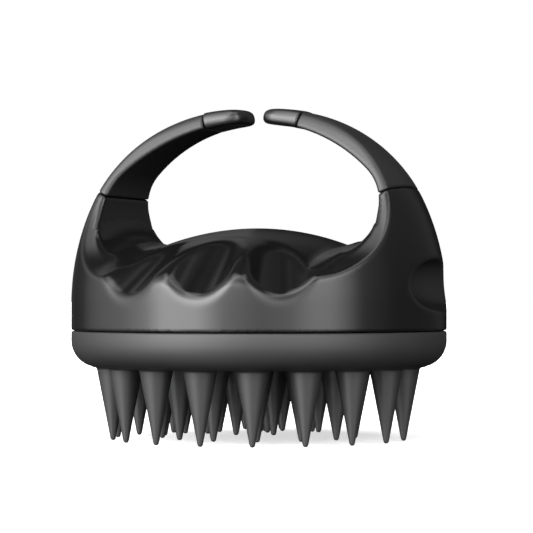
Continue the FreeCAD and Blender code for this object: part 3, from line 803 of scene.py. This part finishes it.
def floor_material():
    """White that glows a little less close to the object, so that a faint shadow shows there."""
    material, nodes, links = new_material("floor_white")
    shader = nodes["Principled BSDF"]
    shader.inputs["Base Color"].default_value = FLOOR_COLOUR
    shader.inputs["Roughness"].default_value = FLOOR_ROUGHNESS
    shader.inputs["Emission Color"].default_value = WHITE
    place = nodes.new("ShaderNodeTexCoord")
    reach = nodes.new("ShaderNodeVectorMath")
    reach.operation = "LENGTH"
    links.new(place.outputs["Object"], reach.inputs[0])
    glow = nodes.new("ShaderNodeMapRange")
    glow.interpolation_type = "SMOOTHSTEP"
    glow.inputs["From Min"].default_value = GLOW_REACH[0]
    glow.inputs["From Max"].default_value = GLOW_REACH[1]
    glow.inputs["To Min"].default_value = GLOW_STRENGTH[0]
    glow.inputs["To Max"].default_value = GLOW_STRENGTH[1]
    links.new(reach.outputs["Value"], glow.inputs["Value"])
    links.new(glow.outputs["Result"], shader.inputs["Emission Strength"])
    return material


def floor():
    """White floor, which neither lights the object nor shows in its gloss."""
    mesh = bpy.data.meshes.new("floor")
    corners = [(-1, -1), (1, -1), (1, 1), (-1, 1)]
    points = [(x * FLOOR_HALF_SIDE, y * FLOOR_HALF_SIDE, 0.0) for x, y in corners]
    mesh.from_pydata(points, [], [(0, 1, 2, 3)])
    ground = bpy.data.objects.new("floor", mesh)
    bpy.context.scene.collection.objects.link(ground)
    ground.visible_diffuse = False
    ground.visible_glossy = False
    mesh.materials.append(floor_material())


# ---------------------------------------------------------------- light
# Azimuth of the camera, from the front towards the right.
VIEW_AZIMUTH = math.radians(18.5)

# Half of the range of an azimuth and of an elevation, in degrees.
HALF_TURN = 180.0
QUARTER_TURN = 90.0

# Studio surroundings: brightness by azimuth from the camera's, to the right when positive, and a
# factor by elevation, in degrees. The third value is the brightness at which a ramp is full, so it
# is at least the highest level. A tall main light stands at the left and a weaker one at the right.
MAIN_AROUND = [
    (-180, 0.08), (-150, 0.05), (-135, 0.12), (-120, 0.65), (-90, 1.9), (-72, 3.6), (-60, 7.6),
    (-38, 7.6), (-22, 3.0), (0, 1.8), (18, 2.2), (33, 3.9), (44, 3.7), (64, 0.45), (90, 0.13),
    (120, 0.09), (145, 0.08), (158, 0.015), (180, 0.015),
]
MAIN_UPWARDS = [
    (-90, 0.03), (-40, 0.14), (-15, 0.6), (0, 1.0), (30, 1.5), (48, 0.8), (70, 0.4), (90, 0.2),
]
MAIN_PEAK = 8.0

# A soft overhead panel: all that lies above its edge, apart from a dark part at the back.
OVERHEAD_AROUND = [(-180, 0.0), (-158, 0.0), (-128, 1.5), (108, 1.5), (133, 0.0), (180, 0.0)]
OVERHEAD_UPWARDS = [(-90, 0.0), (61, 0.0), (70, 1.0), (84, 1.0), (90, 0.7)]
OVERHEAD_PEAK = 2.2

# A weak light behind, low and mostly on the left.
BACK_AROUND = [(-180, 0.1), (-168, 0.2), (-145, 0.2), (-130, 0.0), (165, 0.0), (180, 0.1)]
BACK_UPWARDS = [(-90, 0.0), (12, 0.0), (26, 1.0), (40, 1.0), (50, 0.0), (90, 0.0)]
BACK_PEAK = 0.2

STUDIO_LIGHTS = [
    (MAIN_AROUND, MAIN_UPWARDS, MAIN_PEAK),
    (OVERHEAD_AROUND, OVERHEAD_UPWARDS, OVERHEAD_PEAK),
    (BACK_AROUND, BACK_UPWARDS, BACK_PEAK),
]

# Square softbox high behind on the right: azimuth and elevation in degrees, then distance, side and
# the height it is aimed at in metres, and its power in watts.
SOFTBOX_AZIMUTH = 125.0
SOFTBOX_ELEVATION = 56.0
SOFTBOX_DISTANCE = 1.2
SOFTBOX_SIDE = 0.9
SOFTBOX_TARGET = 0.035
SOFTBOX_POWER = 0.2


def view_direction(azimuth_degrees, elevation_degrees=0.0):
    """Unit vector from the object at an azimuth from the camera's, to the right when positive."""
    azimuth = VIEW_AZIMUTH + math.radians(azimuth_degrees)
    elevation = math.radians(elevation_degrees)
    level = math.cos(elevation)
    return mathutils.Vector((math.sin(azimuth) * level, -math.cos(azimuth) * level, math.sin(elevation)))


def softbox():
    lamp = bpy.data.lights.new("overhead_right", "AREA")
    lamp.shape = "RECTANGLE"
    lamp.size = SOFTBOX_SIDE
    lamp.size_y = SOFTBOX_SIDE
    lamp.energy = SOFTBOX_POWER
    holder = bpy.data.objects.new("overhead_right", lamp)
    bpy.context.scene.collection.objects.link(holder)
    target = mathutils.Vector((0.0, 0.0, SOFTBOX_TARGET))
    holder.location = target + view_direction(SOFTBOX_AZIMUTH, SOFTBOX_ELEVATION) * SOFTBOX_DISTANCE
    holder.rotation_euler = (target - holder.location).to_track_quat("-Z", "Y").to_euler()


def level_by_angle(nodes, links, angle, half_range, stops, peak):
    """Ramp that turns an angle in radians into a brightness, from stops given in degrees."""
    spread = nodes.new("ShaderNodeMapRange")
    spread.inputs["From Min"].default_value = -math.radians(half_range)
    spread.inputs["From Max"].default_value = math.radians(half_range)
    links.new(angle, spread.inputs["Value"])
    ramp = nodes.new("ShaderNodeValToRGB")
    elements = ramp.color_ramp.elements
    while len(elements) < len(stops):
        elements.new(0.5)
    for element, (degrees, level) in zip(elements, stops):
        element.position = (degrees + half_range) / (2 * half_range)
        element.color = (level / peak, level / peak, level / peak, 1.0)
    links.new(spread.outputs["Result"], ramp.inputs["Fac"])
    return ramp.outputs["Color"]


def studio_light(nodes, links, around, upwards, around_stops, upward_stops, peak):
    """Background whose brightness is a level by azimuth times a factor by elevation."""
    strongest = max(factor for _, factor in upward_stops)
    level = nodes.new("ShaderNodeMix")
    level.data_type = "RGBA"
    level.blend_type = "MULTIPLY"
    level.inputs["Factor"].default_value = 1.0
    # A Mix node's sockets come as numbers, vectors, then colours.
    first, second = level.inputs[6], level.inputs[7]
    links.new(level_by_angle(nodes, links, around, HALF_TURN, around_stops, peak), first)
    links.new(level_by_angle(nodes, links, upwards, QUARTER_TURN, upward_stops, strongest), second)
    background = nodes.new("ShaderNodeBackground")
    background.inputs["Strength"].default_value = peak * strongest
    links.new(level.outputs[2], background.inputs["Color"])
    return background.outputs["Background"]


def studio_angles(nodes, links):
    """Azimuth from the camera's and elevation of a direction, in radians."""
    place = nodes.new("ShaderNodeTexCoord")
    parts = []
    for direction in (view_direction(0.0), view_direction(90.0), mathutils.Vector((0.0, 0.0, 1.0))):
        towards = nodes.new("ShaderNodeVectorMath")
        towards.operation = "DOT_PRODUCT"
        towards.inputs[1].default_value = direction
        links.new(place.outputs["Generated"], towards.inputs[0])
        parts.append(towards.outputs["Value"])
    forward, right, up = parts
    around = nodes.new("ShaderNodeMath")
    around.operation = "ARCTAN2"
    links.new(right, around.inputs[0])
    links.new(forward, around.inputs[1])
    upwards = nodes.new("ShaderNodeMath")
    upwards.operation = "ARCSINE"
    links.new(up, upwards.inputs[0])
    return around.outputs[0], upwards.outputs[0]


def studio():
    """Soft surroundings whose brightness depends on direction; seen directly they are plain white."""
    world = bpy.data.worlds.new("studio")
    bpy.context.scene.world = world
    world.use_nodes = True
    nodes, links = world.node_tree.nodes, world.node_tree.links
    seen = nodes["Background"]
    seen.inputs["Color"].default_value = WHITE
    angles = studio_angles(nodes, links)
    total = None
    for stops_and_peak in STUDIO_LIGHTS:
        light = studio_light(nodes, links, *angles, *stops_and_peak)
        if total is None:
            total = light
            continue
        both = nodes.new("ShaderNodeAddShader")
        links.new(total, both.inputs[0])
        links.new(light, both.inputs[1])
        total = both.outputs["Shader"]
    path = nodes.new("ShaderNodeLightPath")
    mix = nodes.new("ShaderNodeMixShader")
    links.new(path.outputs["Is Camera Ray"], mix.inputs["Fac"])
    # A Mix Shader's second and third sockets are its two shaders.
    links.new(total, mix.inputs[1])
    links.new(seen.outputs["Background"], mix.inputs[2])
    links.new(mix.outputs["Shader"], nodes["World Output"].inputs["Surface"])


# ---------------------------------------------------------------- camera
# Distance and height of the camera in metres, its lens and sensor in millimetres, and how far to
# the right of the object's axis and above the camera's height it aims, in metres.
VIEW_DISTANCE = 0.566
VIEW_HEIGHT = 0.0318
VIEW_LENS = 179.0
SENSOR_WIDTH = 36.0
AIM_RIGHT = 0.00158
AIM_UP = 0.00502


def camera():
    lens = bpy.data.cameras.new("camera")
    lens.lens = VIEW_LENS
    lens.sensor_width = SENSOR_WIDTH
    eye = bpy.data.objects.new("camera", lens)
    bpy.context.scene.collection.objects.link(eye)
    right = mathutils.Vector((math.cos(VIEW_AZIMUTH), math.sin(VIEW_AZIMUTH), 0.0))
    eye.location = view_direction(0.0) * VIEW_DISTANCE + mathutils.Vector((0.0, 0.0, VIEW_HEIGHT))
    aim = right * AIM_RIGHT + mathutils.Vector((0.0, 0.0, VIEW_HEIGHT + AIM_UP))
    eye.rotation_euler = (aim - eye.location).to_track_quat("-Z", "Y").to_euler()
    bpy.context.scene.camera = eye


place_shell()
place_arms()
place_tips()
place_pad()
dress_inner_nodes()
floor()
studio()
softbox()
camera()
bpy.context.scene.view_settings.view_transform = "Standard"
